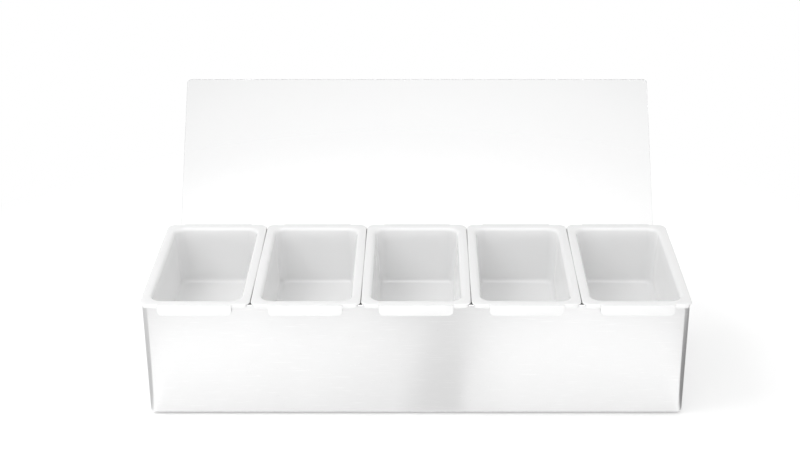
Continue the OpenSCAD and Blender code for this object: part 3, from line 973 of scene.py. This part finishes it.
# a grey strip on the table and up at its far end, which the front wall mirrors as a soft upright band
bandCards = dict(
    low=-1.2, left=-200, right=110, front=-82, far=-1100, top=1200, cameraX=7, cameraRange=1112,
    level=0.76, uprightLevel=0.45,
    stops=[(0, 0), (0.27, 0.12), (0.56, 0.36), (0.68, 0.97), (0.745, 1), (0.81, 0.25), (0.93, 0)],
)
# dark cards beside the walls, which the upright bends mirror; levels are for the left and the right
sideCards = dict(
    low=-1.2, near=243, front=-80, back=700, reach=1000, frontReach=300,
    levels={-1: 0.6, 1: 0.24}, stops=[(0, 0.3), (0.01, 1)],
)
# a faint strip at the foot of the front wall, as if the wall stood in its own shade
footCard = dict(
    half=236, near=-80, far=-230, height=-1.3, level=0.6,
    stops=[(0, 0.20), (0.2, 0.17), (0.4, 0.11), (0.7, 0.04), (1, 0)],
)
# the panel that the open lid mirrors, bright at its centre and dark towards the far corners
ceilingPanel = dict(
    half=800, near=-1120, far=-600, height=1500, level=1.9, centre=(-0.95, -0.14, 0), scale=(1.9, 0.92, 1),
    stops=[(0.0, 1.0), (0.18, 0.97), (0.36, 0.90), (0.54, 0.82), (0.71, 0.60), (0.79, 0.44), (0.92, 0.10)],
)
# a bright strip overhead, which rounded edges mirror
stripLight = dict(half=900, near=-590, far=-100, height=1500, level=5.5, stops=[(0, 1), (1, 1)])


def makeBandCards(size):
    low, top, front, far = size["low"], size["top"], size["front"], size["far"]
    left, right, cameraX = size["left"], size["right"], size["cameraX"]
    # its sides spread with the distance, so that the camera sees them upright in the mirror
    widen = 1 + (front - far) / size["cameraRange"]
    farLeft, farRight = cameraX + (left - cameraX) * widen, cameraX + (right - cameraX) * widen
    makeCard("bandCardLow",
             [(left, front, low), (right, front, low), (farRight, far, low), (farLeft, far, low)],
             cardMaterial("bandCardLow", size["level"], size["stops"]))
    makeCard("bandCardUpright",
             [(farLeft, far, low), (farRight, far, low), (farRight, far, top), (farLeft, far, top)],
             cardMaterial("bandCardUpright", size["uprightLevel"], size["stops"]))


def makeSideCards(size):
    low, near, front, back = size["low"], size["near"], size["front"], size["back"]
    for side, level in size["levels"].items():
        corners = [(near, front), (near + size["frontReach"], front - size["reach"]),
                   (near + size["reach"], back), (near, back)]
        makeCard("sideCard", [(side * x, y, low) for x, y in corners],
                 cardMaterial("sideCard", level, size["stops"], "Y"))


lampTarget = (0, 0, 60)
lamps = dict(
    keyLamp=dict(place=(-1300, -250, 1600), width=1100, height=1100, power=9.8),
    frontLamp=dict(place=(-750, -1500, 1350), width=1500, height=700, power=1.8),
    lowLamp=dict(place=(0, -1900, 170), width=2600, height=240, power=11.2),
)


def makeLamp(name, size):
    lamp = bpy.data.lights.new(name, "AREA")
    lamp.shape = "RECTANGLE"
    lamp.size = size["width"] * mm
    lamp.size_y = size["height"] * mm
    lamp.energy = size["power"]
    obj = addObject(name, lamp)
    obj.location = Vector(size["place"]) * mm
    obj.rotation_euler = (Vector(lampTarget) - Vector(size["place"])).to_track_quat("-Z", "Y").to_euler()
    obj.visible_glossy = False


# pitch is the angle down from the horizontal, in degrees
view = dict(place=(7.0, -1191.3, 714.4), pitch=23.4, lens=65.0, sensor=36, lensShift=(-0.03, -0.075))


def makeCamera(size):
    lens = bpy.data.cameras.new("camera")
    lens.sensor_width = size["sensor"]
    lens.sensor_fit = "HORIZONTAL"
    lens.lens = size["lens"]
    lens.shift_x, lens.shift_y = size["lensShift"]
    camera = addObject("camera", lens)
    camera.location = Vector(size["place"]) * mm
    camera.rotation_euler = (math.radians(90 - size["pitch"]), 0, 0)
    bpy.context.scene.camera = camera


makeFloor(paperSweep)
makeWorld(surround)
makeBandCards(bandCards)
makeLevelCard("footCard", footCard, cardMaterial("footCard", footCard["level"], footCard["stops"], "Y"))
makeSideCards(sideCards)
makeLevelCard("ceilingPanel", ceilingPanel, panelMaterial("ceilingPanel", ceilingPanel), throughSheet=True)
makeLevelCard("stripLight", stripLight,
              cardMaterial("stripLight", stripLight["level"], stripLight["stops"]))
for name, size in lamps.items():
    makeLamp(name, size)
makeCamera(view)
scene.view_settings.view_transform = "Standard"
print("studio ready")
